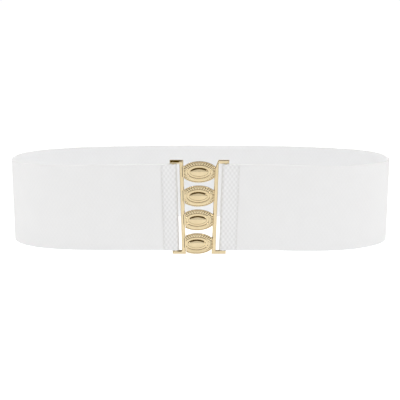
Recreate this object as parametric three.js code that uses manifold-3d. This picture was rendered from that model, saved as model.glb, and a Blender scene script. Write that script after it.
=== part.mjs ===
// A wide elastic stretch belt, closed and standing on its lower edge.
// One length of woven webbing runs round the waist. Each end folds round the hidden post of a
// clasp half and is sewn down inside. The right clasp half carries four oval medallions, cast in
// one with it, and the left half hooks into their hollow backs.
// Millimetres, +Z up, the clasp faces -Y, the origin is the middle of the footprint.
import * as THREE from "three";
import { mergeVertices } from "three/addons/utils/BufferGeometryUtils.js";
import Module from "manifold-3d";

const wasm = await Module();
wasm.setup();

// Between pieces that touch on the real belt
const clearance = 0.32;

// Webbing
const bandWidth = 75;
const bandThickness = 1.8;
const flapLength = 17; // from the end of the fold to the flap's cut end
const seamDistance = 13.2; // from the end of the fold to the seam that holds the flap

// The closed loop in plan, to the outside of the webbing
const loopHalfLength = 174.7;
const loopFrontDepth = 74.5;
const loopBackDepth = 75.7;
const frontSquareness = 2.64; // power of the rounded front half, where 2 is an ellipse
const backSquareness = 2.53;

// Clasp halves. Each leans a little, its top away from the other half. The lift span is the way
// from the end of a flap to where the webbing's edge comes down to the surface.
const claspShift = -2.2; // the medallions' middle, left of the loop's middle
const barWidth = 3.4;
const frameDepth = 2.4;
const edgeBevel = 0.35;
const armHeight = 3.2;
const postRadius = 1.1;
const armBeyondPost = 2.8; // from the post's middle to the arm's tip
const halves = {
  left: { side: -1, barOffset: 13.05, foldGap: 2.2, leanDegrees: -1.4, liftSpan: 134 },
  right: { side: 1, barOffset: 14.8, foldGap: 2.8, leanDegrees: 1.85, liftSpan: 100 },
};
const cornerCutWidth = 2.9; // slanted inner corner at the top of the right bar
const cornerCutHeight = 7.6;

// Medallions: ovals with their ends cut off along the two bars
const medallionCount = 4;
const medallionGap = 2.4;
const medallionMargin = 0.62; // above the highest and below the lowest
const medallionHalfWidth = 15.5; // of the whole oval, before its ends are cut off
const medallionLap = 0.4; // how far a cut end laps over the right bar
const domeHalfWidth = 7.9;
const fluteCount = 36;
const fluteDepth = 0.35;
const hollowInset = 2.2; // from the upper or lower edge to the wall of the hollow back
const tabHeight = 9.6;
const tabLap = 0.9; // how far a tab laps up into its medallion's rim

// One medallion's relief from its edge to the groove round its dome:
// the inset from the upper edge and the height over the back of the rim
const relief = [
  { inset: 0, height: 1.2, fluted: false },
  { inset: 0.45, height: 1.6, fluted: false },
  { inset: 0.95, height: 1.3, fluted: false },
  { inset: 1.3, height: 1.75, fluted: true },
  { inset: 3.0, height: 2.45, fluted: true },
  { inset: 3.4, height: 2.75, fluted: false },
  { inset: 3.9, height: 2.75, fluted: false },
  { inset: 4.9, height: 2.1, fluted: false },
];
const domeRise = 1.8;

// Hooks
const hookHalfHeight = 2.4;
const hookThickness = 1.2;
const hookBite = 1.0; // how far a hook reaches into a medallion's hollow back

const steps = { loop: 128, wrap: 8, flap: 10, post: 16, dome: 4, hollow: 40 };

// Sizes that follow from the ones above
const claspHeight = bandWidth + 2 * (armHeight + clearance);
const claspMiddle = claspHeight / 2;
const medallionsHeight = claspHeight - 2 * medallionMargin - (medallionCount - 1) * medallionGap;
const medallionHalfHeight = medallionsHeight / (2 * medallionCount);
const medallionPitch = 2 * medallionHalfHeight + medallionGap;
const bandLift = armHeight + clearance;
const rimBack = frameDepth + clearance; // in front of the clasp's flat back, like the next three
const hookFront = rimBack + hookBite;
const hollowFront = hookFront + clearance;
const grooveFront = rimBack + relief.at(-1).height;
const wrapRadius = postRadius + clearance + bandThickness / 2; // to the middle of the wall
const foldRadius = wrapRadius + bandThickness / 2;
for (const half of Object.values(halves)) {
  half.postOffset = half.barOffset + barWidth / 2 + half.foldGap + foldRadius;
  half.postX = claspShift + half.side * half.postOffset;
  half.slope = Math.tan(THREE.MathUtils.degToRad(half.leanDegrees));
}

const gold = new THREE.MeshStandardMaterial({ color: 0xd9c59b, roughness: 0.2, metalness: 1.0 });
const whiteElastic = new THREE.MeshStandardMaterial({ color: 0xf2f2f2, roughness: 0.85 });

// Half depth of the loop to the middle of the webbing's wall, on the front (-Y) or back half
const wallHalfLength = loopHalfLength - bandThickness / 2;
function halfOf(isFront) {
  return isFront
    ? { depth: loopFrontDepth - bandThickness / 2, power: frontSquareness }
    : { depth: loopBackDepth - bandThickness / 2, power: backSquareness };
}

// The wall's middle line at the front, at a place across
function frontWallY(x) {
  const { depth, power } = halfOf(true);
  return -depth * (1 - Math.abs(x / wallHalfLength) ** power) ** (1 / power);
}

// The clasp's flat back: its posts stand a fold's radius behind the wall's middle line
const postY = (frontWallY(halves.left.postX) + frontWallY(halves.right.postX)) / 2 + wrapRadius;
const claspBackY = postY + frameDepth / 2;
const frontReach = grooveFront + domeRise - claspBackY;

// A closed geometry as a manifold-3d solid
function solidOf(geometry) {
  const bare = geometry.clone();
  bare.deleteAttribute("normal");
  bare.deleteAttribute("uv");
  const merged = mergeVertices(bare, 1e-4);
  return new wasm.Manifold(
    new wasm.Mesh({
      numProp: 3,
      vertProperties: merged.attributes.position.array,
      triVerts: new Uint32Array(merged.index.array),
    }),
  );
}

// A manifold-3d solid as a three.js geometry
function geometryOf(solid) {
  const mesh = solid.getMesh();
  const geometry = new THREE.BufferGeometry();
  const positions = new Float32Array(mesh.vertProperties);
  geometry.setAttribute("position", new THREE.BufferAttribute(positions, 3));
  geometry.setIndex(new THREE.BufferAttribute(new Uint32Array(mesh.triVerts), 1));
  return geometry;
}

// Moves every vertex of a geometry to move(x, y, z, index)
function displace(geometry, move) {
  const position = geometry.attributes.position;
  for (let i = 0; i < position.count; i++) {
    const [x, y, z] = move(position.getX(i), position.getY(i), position.getZ(i), i);
    position.setXYZ(i, x, y, z);
  }
  geometry.computeVertexNormals();
  return geometry;
}

// Leans an upright clasp half sideways about the clasp's middle height
function lean(geometry, slope) {
  return displace(geometry, (x, y, z) => [x + slope * (z - claspMiddle), y, z]);
}

function named(name, geometry, material) {
  const mesh = new THREE.Mesh(geometry, material);
  mesh.name = name;
  return mesh;
}

// A block between two corners, given across, in front of the clasp's back, and up
function block(xLow, xHigh, frontLow, frontHigh, zMiddle, zHalf) {
  const geometry = new THREE.BoxGeometry(xHigh - xLow, frontHigh - frontLow, 2 * zHalf);
  geometry.translate((xLow + xHigh) / 2, -(frontLow + frontHigh) / 2, zMiddle);
  return solidOf(geometry);
}

function medallionZ(index) {
  return claspMiddle + (index - (medallionCount - 1) / 2) * medallionPitch;
}

// The bar, two arms and post of a clasp half
function frameSolid({ side, barOffset, postOffset }, cutWidth) {
  const tip = side * (postOffset + armBeyondPost);
  const barOuter = side * (barOffset + barWidth / 2);
  const barInner = side * (barOffset - barWidth / 2);
  const outline = new THREE.Shape();
  outline.moveTo(tip, 0);
  outline.lineTo(barInner, 0);
  outline.lineTo(barInner, claspHeight - cornerCutHeight);
  outline.lineTo(barInner + side * cutWidth, claspHeight);
  outline.lineTo(tip, claspHeight);
  outline.lineTo(tip, claspHeight - armHeight);
  outline.lineTo(barOuter, claspHeight - armHeight);
  outline.lineTo(barOuter, armHeight);
  outline.lineTo(tip, armHeight);
  outline.closePath();
  const plate = new THREE.ExtrudeGeometry(outline, {
    depth: frameDepth - 2 * edgeBevel,
    bevelThickness: edgeBevel,
    bevelSize: edgeBevel,
    bevelOffset: -edgeBevel,
    bevelSegments: 1,
  });
  plate.translate(0, 0, edgeBevel).rotateX(Math.PI / 2);
  const postLength = claspHeight - armHeight; // half an arm's height deep in each arm
  const post = new THREE.CylinderGeometry(postRadius, postRadius, postLength, steps.post);
  post.rotateX(Math.PI / 2);
  post.translate(side * postOffset, -frameDepth / 2, claspMiddle);
  return solidOf(plate).add(solidOf(post));
}

// Turns a round profile oval: rings keep their inset from the upper edge and grow wider towards
// the ends, and the dome keeps its proportions
function oval(geometry) {
  const domeHalfHeight = medallionHalfHeight - relief.at(-1).inset;
  const widening = (medallionHalfWidth - domeHalfWidth) / relief.at(-1).inset;
  return displace(geometry, (x, y, z) => {
    const radius = Math.max(Math.hypot(x, z), domeHalfHeight);
    return [(x * (domeHalfWidth + widening * (radius - domeHalfHeight))) / radius, y, z];
  });
}

// A fluted oval rim round a dome, hollow behind, with its middle at the clasp's flat back
function medallionSolid() {
  const rows = relief.map(({ inset, height, fluted }) => ({
    radius: medallionHalfHeight - inset,
    front: rimBack + height,
    fluted,
  }));
  const domeRadius = rows.at(-1).radius;
  for (let i = 1; i <= steps.dome; i++) {
    const angle = (i / steps.dome) * (Math.PI / 2);
    const radius = i < steps.dome ? domeRadius * Math.cos(angle) : 0;
    rows.push({ radius, front: grooveFront + domeRise * Math.sin(angle), fluted: false });
  }
  rows.unshift({ radius: 0, front: rimBack }, { radius: medallionHalfHeight, front: rimBack });
  const points = rows.map(({ radius, front }) => new THREE.Vector2(radius, front));
  const face = new THREE.LatheGeometry(points, 2 * fluteCount);
  displace(face, (x, y, z, i) => {
    const isValley = Math.floor(i / rows.length) % 2 === 1;
    return [x, isValley && rows[i % rows.length].fluted ? y - fluteDepth : y, z];
  });
  const hollowDepth = 2 * (hollowFront - rimBack); // half of it stands out behind the rim
  const hollow = new THREE.CylinderGeometry(1, 1, hollowDepth, steps.hollow);
  hollow.scale(domeHalfWidth, 1, medallionHalfHeight - hollowInset);
  hollow.translate(0, rimBack, 0);
  const solid = solidOf(oval(face).rotateX(Math.PI));
  return solid.subtract(solidOf(hollow.rotateX(Math.PI)));
}

// Right half: a frame with the medallions on tabs. One plane cuts the medallions' left ends off
// beside the other half's bar, and one their right ends just over their own bar.
function rightHalf() {
  const { barOffset, slope } = halves.right;
  const medallion = medallionSolid();
  const rightEnd = barOffset - barWidth / 2 + medallionLap;
  const leftEnd = -(halves.left.barOffset - barWidth / 2 - clearance);
  const spread = slope - halves.left.slope;
  const beside = new THREE.Vector3(1, 0, spread);
  let solid = null;
  for (let i = 0; i < medallionCount; i++) {
    const z = medallionZ(i);
    const tab = block(domeHalfWidth + 0.2, rightEnd, 0, rimBack + tabLap, z, tabHeight / 2);
    const piece = medallion.translate(0, 0, z).add(tab);
    solid = solid ? solid.add(piece) : piece;
  }
  solid = solid
    .trimByPlane(beside.toArray(), (leftEnd + spread * claspMiddle) / beside.length())
    .trimByPlane([-1, 0, 0], -rightEnd)
    .add(frameSolid(halves.right, cornerCutWidth));
  return lean(geometryOf(solid), slope);
}

// Left half: a frame with a hook behind each medallion. The top hook is drawn tight against its
// hollow's wall, and the others hang slack because the halves lean apart.
function leftHalf() {
  const { barOffset, slope } = halves.left;
  const hollowHalfWidth = domeHalfWidth - clearance;
  const hollowHalfHeight = medallionHalfHeight - hollowInset - clearance;
  const wallAtHook = hollowHalfWidth * Math.sqrt(1 - (hookHalfHeight / hollowHalfHeight) ** 2);
  const topOfHook = medallionZ(medallionCount - 1) + hookHalfHeight - claspMiddle;
  const hookFace = (halves.right.slope - slope) * topOfHook - wallAtHook;
  const hookEnd = hookFace + hookThickness;
  let solid = frameSolid(halves.left, 0);
  for (let i = 0; i < medallionCount; i++) {
    const z = medallionZ(i);
    const tab = block(-barOffset, hookEnd, 0, frameDepth, z, tabHeight / 2);
    const lip = block(hookFace, hookEnd, frameDepth / 2, hookFront, z, hookHalfHeight);
    solid = solid.add(tab).add(lip);
  }
  return lean(geometryOf(solid), slope);
}

// The wall's middle line round the loop, from the right fold by the back to the left fold
class LoopCurve extends THREE.Curve {
  constructor() {
    super();
    const { power } = halfOf(true);
    const angleTo = (x) => Math.acos((Math.abs(x) / wallHalfLength) ** (power / 2));
    this.start = -angleTo(halves.right.postX);
    this.end = Math.PI + angleTo(halves.left.postX);
  }

  getPoint(t, target = new THREE.Vector3()) {
    const angle = this.start + t * (this.end - this.start);
    const cos = Math.cos(angle);
    const sin = Math.sin(angle);
    const { depth, power } = halfOf(sin < 0);
    const x = wallHalfLength * Math.sign(cos) * Math.abs(cos) ** (2 / power);
    const y = depth * Math.sign(sin) * Math.abs(sin) ** (2 / power);
    return target.set(x, y, 0);
  }
}

// The fold at one end of the webbing: round the post, then the flap back along the inside
function foldStations({ side, postX }) {
  const centreY = frontWallY(postX) + wrapRadius;
  const stations = [];
  for (let i = 1; i <= steps.wrap; i++) {
    const angle = -Math.PI / 2 - (i / steps.wrap) * Math.PI;
    const x = postX + side * wrapRadius * Math.cos(angle);
    stations.push(new THREE.Vector2(x, centreY + wrapRadius * Math.sin(angle)));
  }
  const seamRun = seamDistance - foldRadius;
  const flapRun = flapLength - foldRadius;
  for (let i = 1; i <= steps.flap; i++) {
    const run = (i / steps.flap) * flapRun;
    const x = postX + side * run;
    const loose = centreY + wrapRadius;
    const sewn = frontWallY(x) + bandThickness + clearance;
    const settled = THREE.MathUtils.smoothstep(run, 0, seamRun);
    stations.push(new THREE.Vector2(x, THREE.MathUtils.lerp(loose, sewn, settled)));
  }
  return stations;
}

// The webbing: a flat strip bent along its stations, its front held up between the clasp's arms
function bandGeometry() {
  const { left, right } = halves;
  const stations = [
    ...foldStations(right).reverse(),
    ...new LoopCurve().getSpacedPoints(steps.loop),
    ...foldStations(left),
  ];
  const last = stations.length - 1;
  const strip = new THREE.BoxGeometry(1, 1, 1, last, 1, 1);
  return displace(strip, (u, across, up) => {
    const i = Math.round((u + 0.5) * last);
    const before = stations[Math.max(i - 1, 0)];
    const after = stations[Math.min(i + 1, last)];
    const along = new THREE.Vector2(after.x - before.x, after.y - before.y).normalize();
    const x = stations[i].x - along.y * across * bandThickness;
    const y = stations[i].y + along.x * across * bandThickness;
    const half = x < claspShift ? left : right;
    const fromFlap = Math.abs(x - half.postX) - flapLength;
    const held = y < 0 ? 1 - THREE.MathUtils.smoothstep(fromFlap, 0, half.liftSpan) : 0;
    const z = (up + 0.5) * bandWidth + held * bandLift;
    return [x + held * half.slope * up * bandWidth, y, z];
  });
}

const clasp = new THREE.Group();
clasp.position.set(claspShift, claspBackY, 0);
clasp.add(named("left_clasp_half", leftHalf(), gold));
clasp.add(named("right_clasp_half", rightHalf(), gold));

const belt = new THREE.Group();
belt.position.y = (frontReach - loopBackDepth) / 2;
belt.add(named("elastic_band", bandGeometry(), whiteElastic));
belt.add(clasp);

export default belt;
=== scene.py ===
# %% [markdown]
# # A wide elastic stretch belt with a hooked gold clasp
#
# The belt is one length of woven stretch webbing, closed into a ring and stood on its lower
# edge. Each end folds round a hidden post of a cast clasp half and is sewn down inside. The
# right half carries four oval medallions in one casting, and the left half hooks into their
# hollow backs. We dress the solid model with the cloth, the thread and the polished metal that
# the real belt shows. The first lines load that model, which fixes every size and place.

# %% Load the solid model
import math

import bmesh
import bpy
from mathutils import Matrix, Vector


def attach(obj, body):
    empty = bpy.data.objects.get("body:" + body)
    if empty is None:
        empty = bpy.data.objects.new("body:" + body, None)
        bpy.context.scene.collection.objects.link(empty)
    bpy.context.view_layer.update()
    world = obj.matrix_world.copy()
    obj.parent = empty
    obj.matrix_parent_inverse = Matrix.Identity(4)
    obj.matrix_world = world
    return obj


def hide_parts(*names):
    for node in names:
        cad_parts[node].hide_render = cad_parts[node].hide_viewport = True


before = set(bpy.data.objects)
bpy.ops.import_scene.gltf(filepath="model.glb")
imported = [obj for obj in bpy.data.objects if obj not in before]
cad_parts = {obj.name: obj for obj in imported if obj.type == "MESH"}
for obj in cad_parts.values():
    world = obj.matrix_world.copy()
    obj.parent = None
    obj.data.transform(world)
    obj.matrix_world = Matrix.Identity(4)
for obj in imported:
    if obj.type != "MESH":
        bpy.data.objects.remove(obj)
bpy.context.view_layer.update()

# %% [markdown]
# ## The measurements
#
# A belt maker works from a few numbers: the width and thickness of the webbing, where the fold
# and the seam come, and the clasp's own sizes. They are the same numbers as in the solid model,
# so each dressed piece lies exactly where its solid lies. We write them in millimetres, as on a
# drawing, and turn them into metres only when a shape is made.

# %% Sizes of the webbing, in millimetres
MM = 0.001
BAND_WIDTH = 75.0
BAND_THICKNESS = 1.8
CLEARANCE = 0.32
FLAP_LENGTH = 17.0  # from the end of the fold to the cut end of the flap
SEAM_DISTANCE = 13.2  # from the end of the fold to where the flap lies flat
WALL_HALF_LENGTH = 174.7 - BAND_THICKNESS / 2
WALL_FRONT = (74.5 - BAND_THICKNESS / 2, 2.64)  # half depth, and power of the rounded plan
WALL_BACK = (75.7 - BAND_THICKNESS / 2, 2.53)
print("webbing is", BAND_WIDTH, "mm wide and", BAND_THICKNESS, "mm thick")

# %% Sizes of the clasp, in millimetres
CLASP_SHIFT = -2.2  # the medallions' middle, left of the belt's middle
BAR_WIDTH = 3.4
FRAME_DEPTH = 2.4
ARM_HEIGHT = 3.2
POST_RADIUS = 1.1
ARM_BEYOND_POST = 2.8
BAND_LIFT = ARM_HEIGHT + CLEARANCE
CLASP_HEIGHT = BAND_WIDTH + 2 * BAND_LIFT
CLASP_MIDDLE = CLASP_HEIGHT / 2
WRAP_RADIUS = POST_RADIUS + CLEARANCE + BAND_THICKNESS / 2
FOLD_RADIUS = WRAP_RADIUS + BAND_THICKNESS / 2


class Half:
    """One side of the clasp: its bar, its post, how it leans and how its webbing comes down."""

    def __init__(self, side, bar_offset, fold_gap, lean_degrees, lift_span, stitch_distance):
        self.side = side
        self.bar_offset = bar_offset
        self.post_offset = bar_offset + BAR_WIDTH / 2 + fold_gap + FOLD_RADIUS
        self.post_x = CLASP_SHIFT + side * self.post_offset
        self.slope = math.tan(math.radians(lean_degrees))
        self.lift_span = lift_span
        self.stitch_distance = stitch_distance  # from the end of the fold to the stitches


LEFT = Half(-1, 13.05, 2.2, -1.4, 134.0, 13.2)
RIGHT = Half(1, 14.8, 2.8, 1.85, 100.0, 14.6)
print("posts stand at x =", round(LEFT.post_x, 2), "and", round(RIGHT.post_x, 2), "mm")

# %% The line that the webbing follows
def front_wall(x):
    """Depth of the front wall's middle at a place across the belt."""
    depth, power = WALL_FRONT
    return -depth * (1 - abs(x / WALL_HALF_LENGTH) ** power) ** (1 / power)


FRONT_REACH_SHIFT = 0.44  # brings the finished belt's footprint to the middle of the frame
POST_Y = (front_wall(LEFT.post_x) + front_wall(RIGHT.post_x)) / 2 + WRAP_RADIUS
CLASP_BACK = POST_Y + FRAME_DEPTH / 2 + FRONT_REACH_SHIFT
print("flat back of the clasp is at y =", round(CLASP_BACK, 2), "mm")

# %% [markdown]
# ## The camera
#
# The picture is taken with a long lens from a little above, so the far side of the ring shows
# over the near side. The camera comes first, because it tells which details matter. We could
# move it about by eye, but its place, tilt and lens were solved from where the belt's edges lie
# in the photo, which is surer.

# %% Camera
camera = bpy.data.objects.new("camera", bpy.data.cameras.new("camera"))
bpy.context.scene.collection.objects.link(camera)
bpy.context.scene.camera = camera
camera.location = (0.0, -0.72025, 0.18052)
camera.rotation_euler = (math.radians(90 - 11.236), 0, 0)
camera.data.sensor_width = 36
camera.data.lens = 69.8
camera.data.shift_x = -0.00126
camera.data.shift_y = -0.0116
camera.data.clip_start = 0.01
print("camera is", round(camera.location.length, 3), "m from the belt's foot")

# %% [markdown]
# ## Mixing materials
#
# No real finish is one even value: cloth is a little cloudy, and metal is polished unevenly.
# Blender builds such patterns from small nodes that pass numbers and colours on. They need no
# pictures and stay sharp close up. A few helpers keep the node trees below short.

# %% Material helpers
def new_material(name, colour, roughness, metallic=0.0):
    """A material with its shader's plain values set, ready for its pattern."""
    material = bpy.data.materials.new(name)
    material.use_nodes = True
    shader = material.node_tree.nodes["Principled BSDF"]
    shader.inputs["Base Color"].default_value = (*colour, 1)
    shader.inputs["Roughness"].default_value = roughness
    shader.inputs["Metallic"].default_value = metallic
    return material, material.node_tree, shader


def calculate(tree, operation, first, second=None, third=None, clamp=False):
    """A Math node on numbers or on other nodes' outputs. It gives back its own output."""
    node = tree.nodes.new("ShaderNodeMath")
    node.operation = operation
    node.use_clamp = clamp
    for socket, value in zip(node.inputs, (first, second, third)):
        if isinstance(value, bpy.types.NodeSocket):
            tree.links.new(value, socket)
        elif value is not None:
            socket.default_value = value
    return node.outputs[0]


def blend_colours(tree, factor, low, high):
    """Goes from one colour to another as the factor goes from 0 to 1."""
    ramp = tree.nodes.new("ShaderNodeValToRGB")
    ramp.color_ramp.elements[0].color = (*low, 1)
    ramp.color_ramp.elements[1].color = (*high, 1)
    tree.links.new(factor, ramp.inputs["Fac"])
    return ramp.outputs["Color"]


def noise(tree, coordinates, scale, detail=2.0):
    """Soft random blotches, from 0 to 1, with so many blotches to the metre."""
    node = tree.nodes.new("ShaderNodeTexNoise")
    node.inputs["Scale"].default_value = scale
    node.inputs["Detail"].default_value = detail
    tree.links.new(coordinates, node.inputs["Vector"])
    return node.outputs["Fac"]


print("patterns can be worked out and coloured")

# %% [markdown]
# ## Floor, surround and lamps
#
# Everything round the belt is white and bright. A white sheet lit by lamps would do, but the
# belt would throw a shadow on it, which the photo doesn't show. So the floor is a light table
# that glows, in a pale surround. Polished metal shows nothing but its surroundings, so a dark
# ceiling is what gives the medallions their dark crescents, as a black cloth overhead does in
# a product studio. Large soft lamps light the cloth evenly, and two small ones put sparkles on
# the metal.

# %% Floor material
NEAR_FLOOR = 0.9  # metres. Over the next metre the glow grows, to meet the surround evenly
floor_material, tree, shader = new_material("pale_floor", (0.5, 0.5, 0.5), 0.9)
object_place = tree.nodes.new("ShaderNodeTexCoord").outputs["Object"]
from_belt = tree.nodes.new("ShaderNodeVectorMath")
from_belt.operation = "LENGTH"
tree.links.new(object_place, from_belt.inputs[0])
far = calculate(tree, "SUBTRACT", from_belt.outputs["Value"], NEAR_FLOOR, clamp=True)
glow = blend_colours(tree, far, (0.80, 0.80, 0.80), (0.90, 0.91, 0.93))
tree.links.new(glow, shader.inputs["Emission Color"])
shader.inputs["Emission Strength"].default_value = 1.0
paper = noise(tree, object_place, 9.0)
tree.links.new(
    blend_colours(tree, paper, (0.49, 0.49, 0.49), (0.51, 0.51, 0.51)),
    shader.inputs["Base Color"],
)
print("floor glows evenly within", NEAR_FLOOR, "m of the belt's middle")

# %% Floor
bm = bmesh.new()
bmesh.ops.create_circle(bm, cap_ends=True, segments=96, radius=5.0)
floor_mesh = bpy.data.meshes.new("floor")
bm.to_mesh(floor_mesh)
bm.free()
floor = bpy.data.objects.new("floor", floor_mesh)
floor.data.materials.append(floor_material)
bpy.context.scene.collection.objects.link(floor)
print("floor is a disc", round(floor.dimensions.x, 1), "m across")

# %% Surround
world = bpy.data.worlds.new("pale_surround")
bpy.context.scene.world = world
world.use_nodes = True
tree = world.node_tree
background = tree.nodes["Background"]
direction = tree.nodes.new("ShaderNodeTexCoord").outputs["Generated"]


def towards(tree, vector_output, target):
    """The cosine of the angle between a direction and a target."""
    node = tree.nodes.new("ShaderNodeVectorMath")
    node.operation = "DOT_PRODUCT"
    tree.links.new(vector_output, node.inputs[0])
    node.inputs[1].default_value = target
    return node.outputs["Value"]


SIDE_LIGHT, BEHIND_LIGHT = 0.985, 0.035  # the second is added behind and taken off in front
behind = towards(tree, direction, (0, 1, 0))
wall = calculate(tree, "MULTIPLY_ADD", behind, BEHIND_LIGHT, SIDE_LIGHT)
tree.links.new(wall, background.inputs["Strength"])
print("surround is pale all round, at", SIDE_LIGHT, "give or take", BEHIND_LIGHT)

# %% Dark ceiling
CEILING_STARTS, CEILING_FULL = 32, 45  # degrees up, straight ahead
SIDE_SQUEEZE, CORNER_DROP = 0.2, 0.6  # let it hang lower at the sides and front corners


def rise(tree, value, start, full, shape="SMOOTHSTEP"):
    """Goes from 0 to 1 as a value goes from a start to where it is full."""
    node = tree.nodes.new("ShaderNodeMapRange")
    node.interpolation_type = shape
    node.inputs["From Min"].default_value = start
    node.inputs["From Max"].default_value = full
    tree.links.new(value, node.inputs["Value"])
    return node.outputs["Result"]


squeeze = tree.nodes.new("ShaderNodeVectorMath")
squeeze.operation = "MULTIPLY"
squeeze.inputs[1].default_value = (SIDE_SQUEEZE, 1, 1)
tree.links.new(direction, squeeze.inputs[0])
unit = tree.nodes.new("ShaderNodeVectorMath")
unit.operation = "NORMALIZE"
tree.links.new(squeeze.outputs[0], unit.inputs[0])
sideways = calculate(tree, "ABSOLUTE", towards(tree, direction, (1, 0, 0)))
frontwards = calculate(tree, "MAXIMUM", towards(tree, direction, (0, -1, 0)), 0.0)
corner = calculate(tree, "MULTIPLY", sideways, frontwards)
upwards = towards(tree, unit.outputs[0], (0, 0, 1))
ceiling = rise(
    tree,
    calculate(tree, "MULTIPLY_ADD", corner, CORNER_DROP, upwards),
    math.sin(math.radians(CEILING_STARTS)),
    math.sin(math.radians(CEILING_FULL)),
)
surround = blend_colours(tree, ceiling, (1.0, 1.0, 1.0), (0.095, 0.058, 0.002))
tree.links.new(surround, background.inputs["Color"])
print("ceiling darkens from", CEILING_STARTS, "to", CEILING_FULL, "degrees up")

# %% Soft lamps above and at both sides
def soft_lamp(name, place, width, height, energy):
    """A plain rectangular lamp that looks at the middle of the belt. Metres and watts."""
    lamp = bpy.data.lights.new(name, "AREA")
    lamp.shape = "RECTANGLE"
    lamp.size, lamp.size_y = width, height
    lamp.energy = energy
    lamp_object = bpy.data.objects.new(name, lamp)
    lamp_object.location = place
    aim = Vector((0, 0, 0.04)) - lamp_object.location
    lamp_object.rotation_euler = aim.to_track_quat("-Z", "Y").to_euler()
    bpy.context.scene.collection.objects.link(lamp_object)
    return lamp_object


soft_lamp("left_lamp", (-1.8, -0.15, 0.7), 0.6, 1.1, 4.2)
soft_lamp("right_lamp", (1.8, -0.15, 0.7), 0.6, 1.1, 5.4)
soft_lamp("back_lamp", (0, 1.1, 1.6), 1.8, 1.0, 6.0)
soft_lamp("right_sparkle", (1.15, -0.55, 0.95), 0.16, 0.16, 2.2)
soft_lamp("left_sparkle", (-1.15, -0.55, 0.85), 0.16, 0.16, 2.0)
top_lamp = soft_lamp("top_lamp", (0, -0.6, 1.9), 2.0, 1.4, 15.0)
top_lamp.visible_glossy = False  # the metal sees the dark ceiling there instead
inside_lamp = soft_lamp("inside_lamp", (0, -0.02, 0.42), 0.36, 0.05, 0.5)
inside_lamp.visible_glossy = inside_lamp.visible_camera = False
bpy.context.scene.view_settings.view_transform = "Standard"
print("four soft lamps, two small ones, and one over the inside of the ring")

# %% [markdown]
# ## Making a finished piece
#
# Every piece ends the same way: the sculpted mesh gets its material, smooth shading with
# crisp corners, a name, and the body that it moves with. Each cell could repeat those lines,
# and sooner or later one would differ. One helper does it instead, so that the cells below
# show only how each piece gets its shape.

# %% Piece helper
def finish_piece(name, bm, material, corner_degrees=35):
    """Turns a bmesh into a named piece of the belt that rides on its one body."""
    mesh = bpy.data.meshes.new(name)
    bm.to_mesh(mesh)
    bm.free()
    mesh.materials.append(material)
    mesh.shade_smooth()
    mesh.set_sharp_from_angle(angle=math.radians(corner_degrees))
    piece = bpy.data.objects.new(name, mesh)
    bpy.context.scene.collection.objects.link(piece)
    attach(piece, "root")
    print(name, "has", len(mesh.polygons), "faces")
    return piece


def place_in_belt(bm):
    """Moves a clasp part, drawn in millimetres round the clasp's middle, to its place."""
    bmesh.ops.translate(bm, verts=bm.verts, vec=(CLASP_SHIFT, CLASP_BACK, 0))
    bmesh.ops.scale(bm, verts=bm.verts, vec=(MM, MM, MM))


# %% [markdown]
# ## The line of the webbing
#
# One strip goes round the right post, along the right side and the back, and round the left
# post, with a flap sewn down at each end. A curve object could hold that line. We note it as
# a row of stations instead, close together in the folds and wider apart elsewhere, because the
# distance along them is the length on the flat strip. It also tells where the seams lie on the
# cloth.

# %% Stations round the ring
STATION_PITCH = 1.5
FINE_STEPS = 6000  # a first, finer walk round the ring measures its length


def loop_points():
    """The wall's middle from the right fold, by the back, to the left fold, evenly spaced."""
    power = WALL_FRONT[1]
    start = -math.acos((abs(RIGHT.post_x) / WALL_HALF_LENGTH) ** (power / 2))
    end = math.pi + math.acos((abs(LEFT.post_x) / WALL_HALF_LENGTH) ** (power / 2))
    fine = []
    for i in range(FINE_STEPS + 1):
        angle = start + (end - start) * i / FINE_STEPS
        cos, sin = math.cos(angle), math.sin(angle)
        depth, power = WALL_FRONT if sin < 0 else WALL_BACK
        x = WALL_HALF_LENGTH * math.copysign(abs(cos) ** (2 / power), cos)
        fine.append(Vector((x, depth * math.copysign(abs(sin) ** (2 / power), sin))))
    way = [0.0]
    for before, after in zip(fine, fine[1:]):
        way.append(way[-1] + (after - before).length)
    count = round(way[-1] / STATION_PITCH)
    points, at = [], 0
    for i in range(count + 1):
        target = way[-1] * i / count
        while at < len(way) - 2 and way[at + 1] < target:
            at += 1
        part = (target - way[at]) / (way[at + 1] - way[at])
        points.append(fine[at].lerp(fine[at + 1], part))
    return points


ring = loop_points()
print(len(ring), "stations round the ring, about", STATION_PITCH, "mm apart")

# %% Stations in the folds and flaps
FOLD_STEPS, FLAP_STEPS = 18, 19


def smooth_step(value, low, high):
    """Rises softly from 0 to 1 between a low and a high value."""
    t = min(max((value - low) / (high - low), 0), 1)
    return t * t * (3 - 2 * t)


def fold_points(half):
    """Round the post, then the flap back along the inside to its cut end."""
    centre_y = front_wall(half.post_x) + WRAP_RADIUS
    points = []
    for i in range(1, FOLD_STEPS + 1):
        angle = -math.pi / 2 - math.pi * i / FOLD_STEPS
        x = half.post_x + half.side * WRAP_RADIUS * math.cos(angle)
        points.append(Vector((x, centre_y + WRAP_RADIUS * math.sin(angle))))
    fold_y = centre_y + WRAP_RADIUS
    for i in range(1, FLAP_STEPS + 1):
        run = (FLAP_LENGTH - FOLD_RADIUS) * i / FLAP_STEPS
        x = half.post_x + half.side * run
        sewn_y = front_wall(x) + BAND_THICKNESS + CLEARANCE
        settled = smooth_step(run, 0, SEAM_DISTANCE - FOLD_RADIUS)
        points.append(Vector((x, fold_y + (sewn_y - fold_y) * settled)))
    return points


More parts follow.
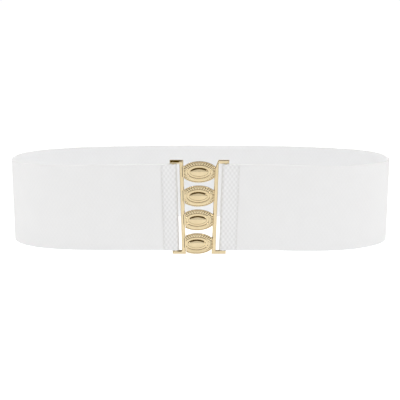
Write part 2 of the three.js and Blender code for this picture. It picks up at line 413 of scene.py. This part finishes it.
stations = fold_points(RIGHT)[::-1] + ring + fold_points(LEFT)
distances = [0.0]
for before, after in zip(stations, stations[1:]):
    distances.append(distances[-1] + (after - before).length)
STRIP_LENGTH = distances[-1]
FOLD_REACH = math.pi * WRAP_RADIUS + FLAP_LENGTH - 2 * FOLD_RADIUS
RIGHT_SEAM = FOLD_REACH + RIGHT.stitch_distance
LEFT_SEAM = STRIP_LENGTH - FOLD_REACH - LEFT.stitch_distance
print(len(stations), "stations on a strip", round(STRIP_LENGTH, 1), "mm long")

# %% [markdown]
# ## Finish: woven stretch webbing
#
# Stretch webbing is woven from covered rubber cords that run along the belt and from fine
# yarns that cross them. Every yarn could be modelled, but that would take millions of faces
# for threads under a millimetre wide. We build the weave as a height in the material: a cord
# lies on top in one place and under the crossing yarn in the next. It follows the strip's own
# flat coordinates, so it turns with the cloth round the folds. Where the webbing is doubled and
# sewn it can't stretch, and a small diamond figure shows more strongly there than on the
# stretched part. The two selvedges are woven tighter, as plain lengthwise ribs.

# %% Webbing material
webbing, tree, shader = new_material("white_elastic_webbing", (0.80, 0.80, 0.80), 0.82)
shader.inputs["Sheen Weight"].default_value = 0.12
shader.inputs["Sheen Roughness"].default_value = 0.5
shader.inputs["Specular IOR Level"].default_value = 0.25

FLAT_MAP = "strip"
flat_place = tree.nodes.new("ShaderNodeUVMap")
flat_place.uv_map = FLAT_MAP
split = tree.nodes.new("ShaderNodeSeparateXYZ")
tree.links.new(flat_place.outputs["UV"], split.inputs["Vector"])
along, up = split.outputs["X"], split.outputs["Y"]  # metres on the flat strip

print("webbing's pattern follows the flat strip's own map")

# %% Cords and crossing yarns
CORD_PITCH, YARN_PITCH = 0.95 * MM, 1.15 * MM


def sine_of_turns(tree, turns):
    """A wave that swings once up or down in each turn."""
    return calculate(tree, "SINE", calculate(tree, "MULTIPLY", turns, math.pi))


def ridges(tree, turns):
    """Round ridges side by side, one to each turn."""
    return calculate(tree, "ABSOLUTE", sine_of_turns(tree, turns))


cord_turn = calculate(tree, "DIVIDE", up, CORD_PITCH)
yarn_turn = calculate(tree, "DIVIDE", along, YARN_PITCH)
cord_row = calculate(tree, "FLOOR", cord_turn)
cord, yarn = ridges(tree, cord_turn), ridges(tree, yarn_turn)
crossing = sine_of_turns(tree, calculate(tree, "ADD", yarn_turn, cord_row))
cord_over = calculate(tree, "MULTIPLY_ADD", crossing, 0.5, 0.5)
yarn_over = calculate(tree, "SUBTRACT", 1.0, cord_over)
weave = calculate(
    tree,
    "MAXIMUM",
    calculate(tree, "MULTIPLY", cord, cord_over),
    calculate(tree, "MULTIPLY", yarn, yarn_over),
)
print("one crossing every", round(YARN_PITCH / MM, 2), "x", round(CORD_PITCH / MM, 2), "mm")

# %% Diamond figure and its strength on the sewn ends
DIAMOND_LONG, DIAMOND_HIGH = 3.6 * MM, 5.0 * MM


def spread(tree, factor, low, high):
    """Takes a factor from 0 to 1 into a range of numbers."""
    return calculate(tree, "MULTIPLY_ADD", factor, high - low, low)


def wave(tree, coordinate, period):
    """A cosine wave, once in each period."""
    angle = calculate(tree, "MULTIPLY", coordinate, 2 * math.pi / period)
    return calculate(tree, "COSINE", angle)


both_waves = calculate(
    tree, "MULTIPLY", wave(tree, along, DIAMOND_LONG), wave(tree, up, DIAMOND_HIGH)
)
diamond = calculate(tree, "MULTIPLY_ADD", both_waves, 0.5, 0.5)

sewn_attribute = tree.nodes.new("ShaderNodeAttribute")
sewn_attribute.attribute_name = "sewn"
sewn = sewn_attribute.outputs["Fac"]
diamond_strength = spread(tree, sewn, 0.1, 1.0)
print("diamonds of", round(DIAMOND_LONG / MM, 1), "x", round(DIAMOND_HIGH / MM, 1), "mm")

# %% Selvedge ribs
SELVEDGE_STARTS, SELVEDGE_FULL, RIB_PITCH = 3.2, 2.6, 0.8  # the first two in from the edge


def mix_values(tree, factor, low, high):
    """Goes from one height to another as the factor goes from 0 to 1."""
    node = tree.nodes.new("ShaderNodeMix")
    node.data_type = "FLOAT"
    for index, value in ((0, factor), (2, low), (3, high)):
        tree.links.new(value, node.inputs[index])
    return node.outputs[0]


from_middle = calculate(tree, "ABSOLUTE", calculate(tree, "SUBTRACT", up, BAND_WIDTH * MM / 2))
selvedge = rise(
    tree,
    from_middle,
    (BAND_WIDTH / 2 - SELVEDGE_STARTS) * MM,
    (BAND_WIDTH / 2 - SELVEDGE_FULL) * MM,
    "LINEAR",
)
rib = ridges(tree, calculate(tree, "DIVIDE", up, RIB_PITCH * MM))
figured = calculate(tree, "MULTIPLY", diamond, diamond_strength)
figured = calculate(tree, "MULTIPLY_ADD", figured, 0.6, weave)
cloth_height = mix_values(tree, selvedge, figured, rib)
print("selvedges are", SELVEDGE_FULL, "mm wide")

# %% Pull of the seams, and the heights put together
WEAVE_HEIGHT, PULL_REACH, PULL_DEPTH = 0.11, 1.9, 2.5  # the depth is in weave heights


def add_bump(tree, shader, height, distance):
    """Lets a height from 0 to 1 dent the surface by up to a distance in metres."""
    node = tree.nodes.new("ShaderNodeBump")
    node.inputs["Strength"].default_value = 1.0
    node.inputs["Distance"].default_value = distance
    tree.links.new(height, node.inputs["Height"])
    tree.links.new(node.outputs["Normal"], shader.inputs["Normal"])


to_right_seam = calculate(tree, "ABSOLUTE", calculate(tree, "SUBTRACT", along, RIGHT_SEAM * MM))
to_left_seam = calculate(tree, "ABSOLUTE", calculate(tree, "SUBTRACT", along, LEFT_SEAM * MM))
to_seam = calculate(tree, "MINIMUM", to_right_seam, to_left_seam)
seam_dent_and_shade = rise(tree, to_seam, PULL_REACH * MM, 0.0)  # the thread pulls the cloth in along the seams
add_bump(
    tree,
    shader,
    calculate(tree, "MULTIPLY_ADD", seam_dent_and_shade, -PULL_DEPTH, cloth_height),
    WEAVE_HEIGHT * MM,
)
print("the weave stands", WEAVE_HEIGHT, "mm high")

# %% Webbing colour
object_place = tree.nodes.new("ShaderNodeTexCoord").outputs["Object"]
cloud = noise(tree, object_place, 60.0, 3.0)
fibre = noise(tree, object_place, 2500.0, 1.0)
figure = calculate(tree, "MULTIPLY", calculate(tree, "SUBTRACT", diamond, 0.5), diamond_strength)
shade = 0.41  # between the darkest white of the cloth and the lightest
for pattern, weight in (
    # painted shade: the weave's low places are coloured a little darker than its raised yarns
    (cloth_height, 0.14),
    (figure, 0.6),
    # painted shade: the cloth is coloured darker in the dent along each seam
    (seam_dent_and_shade, -0.22),
    (sewn, -0.13),  # doubled, the cloth lets less light through
    (cloud, 0.14),
    (fibre, 0.07),
):
    shade = calculate(tree, "MULTIPLY_ADD", pattern, weight, shade)
tree.links.new(
    blend_colours(tree, shade, (0.700, 0.710, 0.728), (0.866, 0.878, 0.898)),
    shader.inputs["Base Color"],
)
tree.links.new(spread(tree, fibre, 0.74, 0.9), shader.inputs["Roughness"])
print("webbing is a soft white")

# %% [markdown]
# ## Laying the webbing
#
# The real strip is cut flat, 75 mm wide, and then laid along that line. The wall of a ring
# could be extruded too, but it would know nothing of the flat cloth. So we do as the maker
# does: a flat grid stands for the cut strip, one column of points for each station, and each
# column is moved to its station. The flat coordinates are kept as the map that the weave
# follows.

# %% Lay the flat strip round the belt
def held_at(x, y):
    """How far the webbing follows the clasp, 1 between its arms and 0 at rest, and its lean."""
    half = LEFT if x < CLASP_SHIFT else RIGHT
    from_flap = abs(x - half.post_x) - FLAP_LENGTH
    held = 1 - smooth_step(from_flap, 0, half.lift_span) if y < 0 else 0.0
    return held, half.slope


ROWS = 30
SEWN_FADE = (-0.5, 1.0)  # the sewn look fades from before the seam to past it
last = len(stations) - 1
bm = bmesh.new()
bmesh.ops.create_grid(bm, x_segments=last, y_segments=ROWS, size=0.5)
flat_map = bm.loops.layers.uv.new(FLAT_MAP)
sewn_layer = bm.verts.layers.float.new("sewn")
for vertex in bm.verts:
    vertex.co.z = vertex.co.y  # the strip stands up, from -0.5 to 0.5
    vertex.co.x = round((vertex.co.x + 0.5) * last)  # and counts its stations
for face in bm.faces:
    for loop in face.loops:
        column = round(loop.vert.co.x)
        loop[flat_map].uv = (distances[column] * MM, (loop.vert.co.z + 0.5) * BAND_WIDTH * MM)
for vertex in bm.verts:
    column = round(vertex.co.x)
    beyond_seam = min(distances[column] - RIGHT_SEAM, LEFT_SEAM - distances[column])
    vertex[sewn_layer] = 1 - smooth_step(beyond_seam, *SEWN_FADE)
    point, share = stations[column], vertex.co.z
    held, slope = held_at(point.x, point.y)
    x = point.x + held * slope * share * BAND_WIDTH
    z = (share + 0.5) * BAND_WIDTH + held * BAND_LIFT
    vertex.co = Vector((x, point.y + FRONT_REACH_SHIFT, z))
bmesh.ops.scale(bm, verts=bm.verts, vec=(MM, MM, MM))
bmesh.ops.recalc_face_normals(bm, faces=bm.faces)
band = finish_piece("woven_elastic_band", bm, webbing, corner_degrees=60)

# %% Give the strip its thickness and soft edges
SELVEDGE_ROUNDING = 0.55
thickness = band.modifiers.new("thickness", "SOLIDIFY")
thickness.thickness = BAND_THICKNESS * MM
thickness.offset = 0
thickness.use_even_offset = True
round_edge = band.modifiers.new("selvedge", "BEVEL")
round_edge.width = SELVEDGE_ROUNDING * MM
round_edge.segments = 3
round_edge.limit_method = "ANGLE"
round_edge.angle_limit = math.radians(60)
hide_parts("elastic_band")
print("webbing is", round(thickness.thickness / MM, 2), "mm thick with rounded selvedges")

# %% [markdown]
# ## Thread
#
# One row of lockstitch on each side holds the flap down. On the outside and on the inside it
# shows as short threads lying end to end, each sunk a little at its ends. One long tube up the
# seam would look like piping. So one stitch is a slim stretched ball with few faces, and it is
# repeated up the seam.

# %% Thread material
thread_material, tree, shader = new_material("white_sewing_thread", (0.72, 0.72, 0.72), 0.6)
shader.inputs["Sheen Weight"].default_value = 0.15
object_place = tree.nodes.new("ShaderNodeTexCoord").outputs["Object"]
twist = tree.nodes.new("ShaderNodeTexWave")
twist.wave_type = "BANDS"
twist.bands_direction = "DIAGONAL"
twist.inputs["Scale"].default_value = 1400.0
tree.links.new(object_place, twist.inputs["Vector"])
# painted shade: the bands are coloured darker where they are low, between the strands
tree.links.new(
    blend_colours(tree, twist.outputs["Fac"], (0.64, 0.64, 0.645), (0.76, 0.76, 0.76)),
    shader.inputs["Base Color"],
)
add_bump(tree, shader, twist.outputs["Fac"], 0.05 * MM)
print("thread is two strands twisted")

# %% Rows of stitches
STITCH_LENGTH, STITCH_PITCH, THREAD_WIDTH, THREAD_DEPTH = 2.4, 3.0, 0.62, 0.42
SEAM_ENDS = 3.0  # left bare at both selvedges together


def sew(half, name):
    """A row of stitches on both faces of the doubled webbing."""
    bm = bmesh.new()
    seam_x = half.post_x + half.side * (half.stitch_distance - FOLD_RADIUS)
    outside = front_wall(seam_x) - BAND_THICKNESS / 2
    inside = front_wall(seam_x) + BAND_THICKNESS + CLEARANCE + BAND_THICKNESS / 2
    count = int((BAND_WIDTH - SEAM_ENDS) / STITCH_PITCH)
    lean = Matrix.Rotation(half.slope, 3, "Y")
    for y in (outside, inside):
        for i in range(count):
            above_middle = (i - (count - 1) / 2) * STITCH_PITCH
            ball = bmesh.ops.create_uvsphere(bm, u_segments=8, v_segments=6, radius=0.5)["verts"]
            bmesh.ops.scale(bm, verts=ball, vec=(THREAD_WIDTH, THREAD_DEPTH, STITCH_LENGTH))
            bmesh.ops.rotate(bm, verts=ball, cent=(0, 0, 0), matrix=lean)
            x = seam_x + half.slope * above_middle
            z = above_middle + BAND_WIDTH / 2 + BAND_LIFT
            bmesh.ops.translate(bm, verts=ball, vec=(x, y + FRONT_REACH_SHIFT, z))
    bmesh.ops.scale(bm, verts=bm.verts, vec=(MM, MM, MM))
    return finish_piece(name, bm, thread_material, corner_degrees=80)


seams = [sew(LEFT, "left_seam_stitches"), sew(RIGHT, "right_seam_stitches")]
print("stitches", STITCH_PITCH, "mm apart")

# %% [markdown]
# ## Finish: pale gold plating
#
# The clasp is cast, tumbled smooth and plated in a pale gold. It is nearly a mirror, so its
# colour comes from one warm metal tone and its life from the surroundings. A perfect mirror
# would be simpler, and would look like glass. Casting and tumbling leave the real surface very
# slightly wavy and unevenly polished, and three faint patterns of noise give it that.

# %% Gold material
gold, tree, shader = new_material("pale_gold_plating", (0.65, 0.54, 0.35), 0.12, metallic=1.0)
object_place = tree.nodes.new("ShaderNodeTexCoord").outputs["Object"]
tone = noise(tree, object_place, 220.0, 2.0)
tree.links.new(
    blend_colours(tree, tone, (0.602, 0.495, 0.310), (0.665, 0.559, 0.368)),
    shader.inputs["Base Color"],
)
polish = noise(tree, object_place, 900.0, 3.0)
tree.links.new(spread(tree, polish, 0.05, 0.12), shader.inputs["Roughness"])
ripple = noise(tree, object_place, 650.0, 2.0)
add_bump(tree, shader, ripple, 0.03 * MM)
print("gold plating with a tumbled polish")

# %% [markdown]
# ## A clasp half's frame
#
# Seen from the front, a frame is a bar with an arm at each end, and a round post between the
# arms, inside the webbing's fold. Three blocks pushed into each other would leave hard lines
# where they meet. A casting has none, so we draw the outline of bar and arms as one flat face,
# give it its depth with an extrusion, and round its edges with a bevel. The top inner corner
# of the right bar is cut on a slant. On the left half the upper part of both arms slopes back,
# and that is why its arms mirror the dark ceiling along their tops.

# %% Outline of a frame
def frame_outline(half, cut_width, cut_height):
    """Corners of bar and arms from the front, in millimetres, with the clasp's middle at 0."""
    side = half.side
    tip = side * (half.post_offset + ARM_BEYOND_POST)
    outer = side * (half.bar_offset + BAR_WIDTH / 2)
    inner = side * (half.bar_offset - BAR_WIDTH / 2)
    top_corner = [(inner, CLASP_HEIGHT - cut_height)]
    if cut_width:
        top_corner.append((inner + side * cut_width, CLASP_HEIGHT))
    return [(tip, 0), (inner, 0)] + top_corner + [
        (tip, CLASP_HEIGHT), (tip, CLASP_HEIGHT - ARM_HEIGHT), (outer, CLASP_HEIGHT - ARM_HEIGHT),
        (outer, ARM_HEIGHT), (tip, ARM_HEIGHT),
    ]


print("a plain frame has", len(frame_outline(LEFT, 0, 0)), "corners")

# %% Rounded plate
FRONT_ROUNDING, BACK_ROUNDING = 0.85, 0.3
HAIR = 0.01  # a hair's breadth, for points that lie on a plane


def round_off(bm, edges, width, segments):
    """Rounds some edges of a casting."""
    bmesh.ops.bevel(
        bm, geom=edges, offset=width, segments=segments, profile=0.5, affect="EDGES", material=-1
    )


def rounded_plate(outline):
    """Gives an outline its depth and rounds its front edges well and its back edges a little."""
    bm = bmesh.new()
    back = bm.faces.new([bm.verts.new((x, 0, z)) for x, z in outline])
    pulled = bmesh.ops.extrude_face_region(bm, geom=[back])["geom"]
    front = [v for v in pulled if isinstance(v, bmesh.types.BMVert)]
    bmesh.ops.translate(bm, verts=front, vec=(0, -FRAME_DEPTH, 0))
    bmesh.ops.recalc_face_normals(bm, faces=bm.faces)
    front_edges = [e for e in bm.edges if all(v.co.y < -FRAME_DEPTH / 2 for v in e.verts)]
    round_off(bm, front_edges, FRONT_ROUNDING, 5)
    back_edges = [e for e in bm.edges if all(v.co.y > -HAIR for v in e.verts)]
    round_off(bm, back_edges, BACK_ROUNDING, 2)
    return bm


print("front edges are rounded over", FRONT_ROUNDING, "mm and back edges over", BACK_ROUNDING)

# %% Slopes on the arms
SLOPE_HEIGHTS = (1.9, 1.3)  # along the tops of the left half's upper and lower arm
SLOPE_FEET = [CLASP_HEIGHT - SLOPE_HEIGHTS[0], ARM_HEIGHT - SLOPE_HEIGHTS[1]]
SLOPE_STEEPNESS = 0.7
BESIDE_BAR = (0.9, 0.05)  # where the arms are sliced, out from the bar


def slice_at(bm, point, normal):
    """Adds points where a plane crosses. Shorter faces keep the shading even."""
    bmesh.ops.bisect_plane(
        bm, geom=bm.verts[:] + bm.edges[:] + bm.faces[:], dist=1e-5,
        plane_co=point, plane_no=normal,
    )


def slope_arms(bm, side, outer):
    """Leans the upper part of each arm's front face back."""
    for vertex in bm.verts:
        over = vertex.co.z - SLOPE_FEET[0]
        if over < 0 and vertex.co.z < ARM_HEIGHT + HAIR:
            over = vertex.co.z - SLOPE_FEET[1]
        on_arm = side * (vertex.co.x - outer) > BESIDE_BAR[1] - HAIR
        if over > 0 and on_arm and vertex.co.y < -FRAME_DEPTH / 2:
            vertex.co.y += over * SLOPE_STEEPNESS


print("slopes are", SLOPE_HEIGHTS[0], "and", SLOPE_HEIGHTS[1], "mm high")

# %% Frame of a clasp half
SLICE_MARGIN = 1.5  # from a corner to the nearest slice


def frame_bmesh(half, cut_width, cut_height, sloped_arms):
    """The whole frame with its round post, in millimetres, with the clasp's middle at 0."""
    outer = half.side * (half.bar_offset + BAR_WIDTH / 2)
    bm = rounded_plate(frame_outline(half, cut_width, cut_height))
    heights = [ARM_HEIGHT + SLICE_MARGIN, CLASP_HEIGHT - ARM_HEIGHT - SLICE_MARGIN] + SLOPE_FEET
    if cut_width:
        heights.append(CLASP_HEIGHT - cut_height - SLICE_MARGIN)
    for z in heights:
        slice_at(bm, (0, 0, z), (0, 0, 1))
    for beside in BESIDE_BAR:
        slice_at(bm, (outer + half.side * beside, 0, 0), (1, 0, 0))
    if sloped_arms:
        slope_arms(bm, half.side, outer)
    post = bmesh.ops.create_cone(
        bm, cap_ends=True, segments=32, radius1=POST_RADIUS, radius2=POST_RADIUS,
        depth=CLASP_HEIGHT - ARM_HEIGHT,
    )["verts"]
    bmesh.ops.translate(
        bm, verts=post, vec=(half.side * half.post_offset, -FRAME_DEPTH / 2, CLASP_MIDDLE)
    )
    return bm


def lean_half(bm, half):
    """Leans an upright clasp half sideways about the clasp's middle height."""
    for vertex in bm.verts:
        vertex.co.x += half.slope * (vertex.co.z - CLASP_MIDDLE)


def keep_faces_flat(piece):
    """Lets the large flat faces rule the shading, so that they mirror evenly."""
    normals = piece.modifiers.new("even_faces", "WEIGHTED_NORMAL")
    normals.keep_sharp = True


print("frames stand", round(CLASP_HEIGHT, 2), "mm high and are", FRAME_DEPTH, "mm deep")

# %% [markdown]
# ## Medallions
#
# Each medallion is an oval boss: a roped outer rim, a ring of small flutes that rises inwards,
# a smooth raised ring, a groove, and a polished dome. It is hollow behind, where the hook goes
# in. Such relief could be a bump in the material, but then the rim's outline would stay smooth
# and nothing would stand out in side light. A lathe makes all of it from one profile, so we
# spin the profile to a round boss first. Then the points of the rim are pushed in and out to
# make the rope and the flutes, and the whole boss is drawn out sideways to an oval, its rings
# growing wider towards the ends. Last the two ends are cut off where the bars run past them.

# %% Sizes of a medallion, in millimetres
MEDALLION_COUNT = 4
MEDALLION_GAP = 2.4
MEDALLION_MARGIN = 0.62
HALF_WIDE = 15.5  # of the whole oval, before its ends are cut off
ROW_HEIGHT = CLASP_HEIGHT - 2 * MEDALLION_MARGIN
HALF_HIGH = (ROW_HEIGHT - (MEDALLION_COUNT - 1) * MEDALLION_GAP) / (2 * MEDALLION_COUNT)
PITCH = 2 * HALF_HIGH + MEDALLION_GAP
RIM_BACK = FRAME_DEPTH + CLEARANCE
LIP_REACH = 1.0  # of the hooks' lips, forwards past the rim's back
HOLLOW_FRONT = RIM_BACK + LIP_REACH + CLEARANCE
HOLLOW_HALF_HIGH = HALF_HIGH - 2.2
DOME_HALF_WIDE, DOME_HALF_HIGH = 7.9, HALF_HIGH - 5.3
DOME_RISE, GROOVE = 1.8, 2.1
SPIN_STEPS = 360
print("medallions", round(2 * HALF_HIGH, 2), "mm high and", round(PITCH, 2), "mm apart")

# %% Profile of a medallion, from the middle of its hollow back to the top of its dome
BEAD_RADIUS, BEAD_FORWARD = 0.48, 1.4  # of the bead on the edge that becomes the rope
FLUTED_START, FLUTED_WIDTH = 1.1, 2.0  # of the fluted slope, in from the edge
FLUTED_FORWARD, FLUTED_RISE, FLUTED_BULGE = 2.1, 0.28, 0.1
RING_MIDDLE, RING_HALF_WIDE, RING_FORWARD, RING_RISE = 3.6, 0.42, 2.42, 0.34
GROOVE_EDGES = (HALF_HIGH - 4.07, DOME_HALF_HIGH + 0.06)  # of the groove's flat floor
BACK_INSET, DOME_INSET = 0.25, 0.03  # of the flat back's edge and of the dome's foot


def arc(middle, radii, first, last, steps):
    """Points on part of an oval, from one angle to another in degrees."""
    turns = [math.radians(first + (last - first) * i / steps) for i in range(steps + 1)]
    return [
        (middle[0] + radii[0] * math.cos(t), middle[1] + radii[1] * math.sin(t)) for t in turns
    ]


bead = arc(
    (HALF_HIGH - BEAD_RADIUS, RIM_BACK + BEAD_FORWARD), (BEAD_RADIUS, BEAD_RADIUS), -50, 140, 7
)
fluted = []
for i in range(8):
    share = i / 7
    bulge = FLUTED_BULGE * math.sin(math.pi * share)
    forward = RIM_BACK + FLUTED_FORWARD + FLUTED_RISE * share + bulge
    fluted.append((HALF_HIGH - FLUTED_START - FLUTED_WIDTH * share, forward))
smooth_ring = arc(
    (HALF_HIGH - RING_MIDDLE, RIM_BACK + RING_FORWARD), (RING_HALF_WIDE, RING_RISE), 15, 175, 5
)
groove = [(edge, RIM_BACK + GROOVE) for edge in GROOVE_EDGES]
dome = arc((-DOME_INSET, RIM_BACK + GROOVE), (DOME_HALF_HIGH, DOME_RISE), 0, 90, 12)[:-1]
dome.append((0, RIM_BACK + GROOVE + DOME_RISE))

profile = [(0, HOLLOW_FRONT), (HOLLOW_HALF_HIGH, HOLLOW_FRONT), (HOLLOW_HALF_HIGH, RIM_BACK)]
hollow_rows = range(len(profile))
profile.append((HALF_HIGH - BACK_INSET, RIM_BACK))
rope_rows = range(len(profile), len(profile) + len(bead))
flute_rows = range(rope_rows.stop, rope_rows.stop + len(fluted))
profile += bead + fluted + smooth_ring + groove + dome
print(len(profile), "points on the profile")

# %% Rope, flutes and oval
ROPE_TURNS, ROPE_DEPTH, ROPE_SLANT = 72, 0.08, 2.2
FLUTES, FLUTE_DEPTH = 36, 0.3


def rope_push(angle, across):
    """How far the bead stands out or in: twisted strands, fading at the bead's two sides."""
    twist = math.cos(ROPE_TURNS * angle + ROPE_SLANT * across)
    return ROPE_DEPTH * twist * math.sin(math.pi * across) ** 0.5


def flute_cut(angle, across):
    """How deep the slope is cut: sharp ribs with round valleys between them."""
    valley = 1 - abs(math.cos(FLUTES / 2 * angle))
    return FLUTE_DEPTH * valley * math.sin(math.pi * min(0.12 + across, 1)) ** 0.5


def oval_width(radius):
    """Half width of the ring that has this half height."""
    if radius <= DOME_HALF_HIGH:
        return radius * DOME_HALF_WIDE / DOME_HALF_HIGH
    widening = (HALF_WIDE - DOME_HALF_WIDE) / (HALF_HIGH - DOME_HALF_HIGH)
    return DOME_HALF_WIDE + widening * (radius - DOME_HALF_HIGH)


print(FLUTES, "flutes inside", ROPE_TURNS, "turns of rope")

# %% Spin one boss
def medallion_bmesh():
    """One boss, in millimetres, with its middle at 0 and the clasp's back plane at y = 0."""
    bm = bmesh.new()
    row_layer = bm.verts.layers.int.new("row")
    chain = []
    for row, (radius, front) in enumerate(profile):
        vertex = bm.verts.new((radius, -front, 0))
        vertex[row_layer] = row
        chain.append(vertex)
    edges = [bm.edges.new(pair) for pair in zip(chain, chain[1:])]
    bmesh.ops.spin(
        bm, geom=chain + edges, cent=(0, 0, 0), axis=(0, 1, 0), angle=2 * math.pi,
        steps=SPIN_STEPS, use_merge=True,
    )
    bmesh.ops.remove_doubles(bm, verts=bm.verts, dist=1e-4)
    for vertex in bm.verts:
        row, radius = vertex[row_layer], math.hypot(vertex.co.x, vertex.co.z)
        angle = math.atan2(vertex.co.z, vertex.co.x)
        if row in rope_rows:
            push = rope_push(angle, (row - rope_rows[0]) / (len(rope_rows) - 1))
            vertex.co.x *= 1 + push / radius
            vertex.co.z *= 1 + push / radius
            vertex.co.y -= push
        elif row in flute_rows:
            vertex.co.y += flute_cut(angle, (row - flute_rows[0]) / (len(flute_rows) - 1))
        if row in hollow_rows:
            vertex.co.x *= DOME_HALF_WIDE / HOLLOW_HALF_HIGH
        elif radius > 0:
            vertex.co.x *= oval_width(radius) / radius
    bmesh.ops.recalc_face_normals(bm, faces=bm.faces)
    return bm


boss = medallion_bmesh()
boss_mesh = bpy.data.meshes.new("one_boss")
boss.to_mesh(boss_mesh)
open_edges = sum(e.is_boundary for e in boss.edges)
print("one boss has", len(boss.faces), "faces and", open_edges, "open edges")
boss.free()

# %% Cutting, and blocks for tabs and hooks
def cut_off(bm, point, outwards):
    """Cuts away what lies beyond a plane and closes the cut."""
    cut = bmesh.ops.bisect_plane(
        bm, geom=bm.verts[:] + bm.edges[:] + bm.faces[:], dist=1e-5,
        plane_co=point, plane_no=outwards, clear_outer=True,
    )
    edges = [e for e in cut["geom_cut"] if isinstance(e, bmesh.types.BMEdge)]
    bmesh.ops.edgeloop_fill(bm, edges=edges)


def add_block(bm, low, high, rounding):
    """A block between two corners with softened edges, such as a tab or a hook's lip."""
    block = bmesh.ops.create_cube(bm, size=1)["verts"]
    bmesh.ops.scale(bm, verts=block, vec=[h - l for l, h in zip(low, high)])
    bmesh.ops.translate(bm, verts=block, vec=[(l + h) / 2 for l, h in zip(low, high)])
    edges = dict.fromkeys(e for v in block for e in v.link_edges)  # each edge once, in order
    round_off(bm, list(edges), rounding, 2)


def medallion_height(index):
    """Height of a medallion's middle, counted from the lowest."""
    return CLASP_MIDDLE + (index - (MEDALLION_COUNT - 1) / 2) * PITCH


print("lowest medallion's middle is", round(medallion_height(0), 2), "mm up")

# %% Right clasp half
CORNER_CUT_WIDTH, CORNER_CUT_HEIGHT = 2.9, 7.6  # of the slanted top corner
TAB_HALF_HIGH, TAB_DEPTH = 4.8, RIM_BACK + 0.9  # deep enough to end inside the medallion
INTO_BAR = 0.4  # how far the medallions' cut ends run into the bar
right_end = RIGHT.bar_offset - BAR_WIDTH / 2 + INTO_BAR
left_end = -(LEFT.bar_offset - BAR_WIDTH / 2 - CLEARANCE)
parting = RIGHT.slope - LEFT.slope  # the left bar leans away from the medallions' row
tab_span = (DOME_HALF_WIDE + 0.2, right_end - 0.05)  # from beside the hollow to short of the cut

bm = frame_bmesh(RIGHT, CORNER_CUT_WIDTH, CORNER_CUT_HEIGHT, sloped_arms=False)
for index in range(MEDALLION_COUNT):
    z = medallion_height(index)
    placed = bmesh.new()
    placed.from_mesh(boss_mesh)
    bmesh.ops.translate(placed, verts=placed.verts, vec=(0, 0, z))
    cut_off(placed, (left_end, 0, CLASP_MIDDLE), (-1, 0, -parting))
    cut_off(placed, (right_end, 0, CLASP_MIDDLE), (1, 0, 0))
    placed_mesh = bpy.data.meshes.new("placed_boss")
    placed.to_mesh(placed_mesh)
    placed.free()
    bm.from_mesh(placed_mesh)
    bpy.data.meshes.remove(placed_mesh)
    add_block(
        bm,
        (tab_span[0], -TAB_DEPTH, z - TAB_HALF_HIGH),
        (tab_span[1], 0, z + TAB_HALF_HIGH),
        rounding=0.25,
    )
bpy.data.meshes.remove(boss_mesh)
lean_half(bm, RIGHT)
place_in_belt(bm)
right_half = finish_piece("right_clasp_with_medallions", bm, gold)
keep_faces_flat(right_half)
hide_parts("right_clasp_half")
print("medallions end", round(-left_end, 2), "and", round(right_end, 2), "mm from their middle")

# %% [markdown]
# ## The left half's hooks
#
# Four short tabs reach from the left bar behind the medallions, and each ends in a lip that
# turns forwards into the hollow. Worn, the stretch of the belt pulls the lips outwards against
# the walls of the hollows, and that alone keeps the clasp closed. A bent sheet could be
# extruded for each hook. They are cast and stay out of sight, so two plain blocks with softened
# edges, a tab and a lip, are enough.

# %% Left clasp half
HOOK_HALF_HIGH, HOOK_THICK = 2.4, 1.2
hollow_wide = DOME_HALF_WIDE - CLEARANCE
hollow_high = HOLLOW_HALF_HIGH - CLEARANCE
wall_at_hook = hollow_wide * math.sqrt(1 - (HOOK_HALF_HIGH / hollow_high) ** 2)
top_of_hook = medallion_height(MEDALLION_COUNT - 1) + HOOK_HALF_HIGH - CLASP_MIDDLE
hook_face = parting * top_of_hook - wall_at_hook
hook_end = hook_face + HOOK_THICK

bm = frame_bmesh(LEFT, 0, 0, sloped_arms=True)
for index in range(MEDALLION_COUNT):
    z = medallion_height(index)
    add_block(
        bm,
        (-LEFT.bar_offset, -FRAME_DEPTH, z - TAB_HALF_HIGH),
        (hook_end, 0, z + TAB_HALF_HIGH),
        rounding=0.4,
    )
    add_block(
        bm,
        (hook_face, -RIM_BACK - LIP_REACH, z - HOOK_HALF_HIGH),
        (hook_end, -FRAME_DEPTH / 2, z + HOOK_HALF_HIGH),
        rounding=0.3,
    )
lean_half(bm, LEFT)
place_in_belt(bm)
left_half = finish_piece("left_clasp_with_hooks", bm, gold)
keep_faces_flat(left_half)
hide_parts("left_clasp_half")
print("hooks reach to", round(hook_end, 2), "mm from the medallions' middle")

# %% [markdown]
# ## The cloth's own facts
#
# The webbing is one sheet of cloth, folded round the two posts. Its cut size is the width of
# the webbing and the length of the line that it follows, with both flaps.

print("cut size", BAND_WIDTH, "x", round(STRIP_LENGTH, 1), "mm")
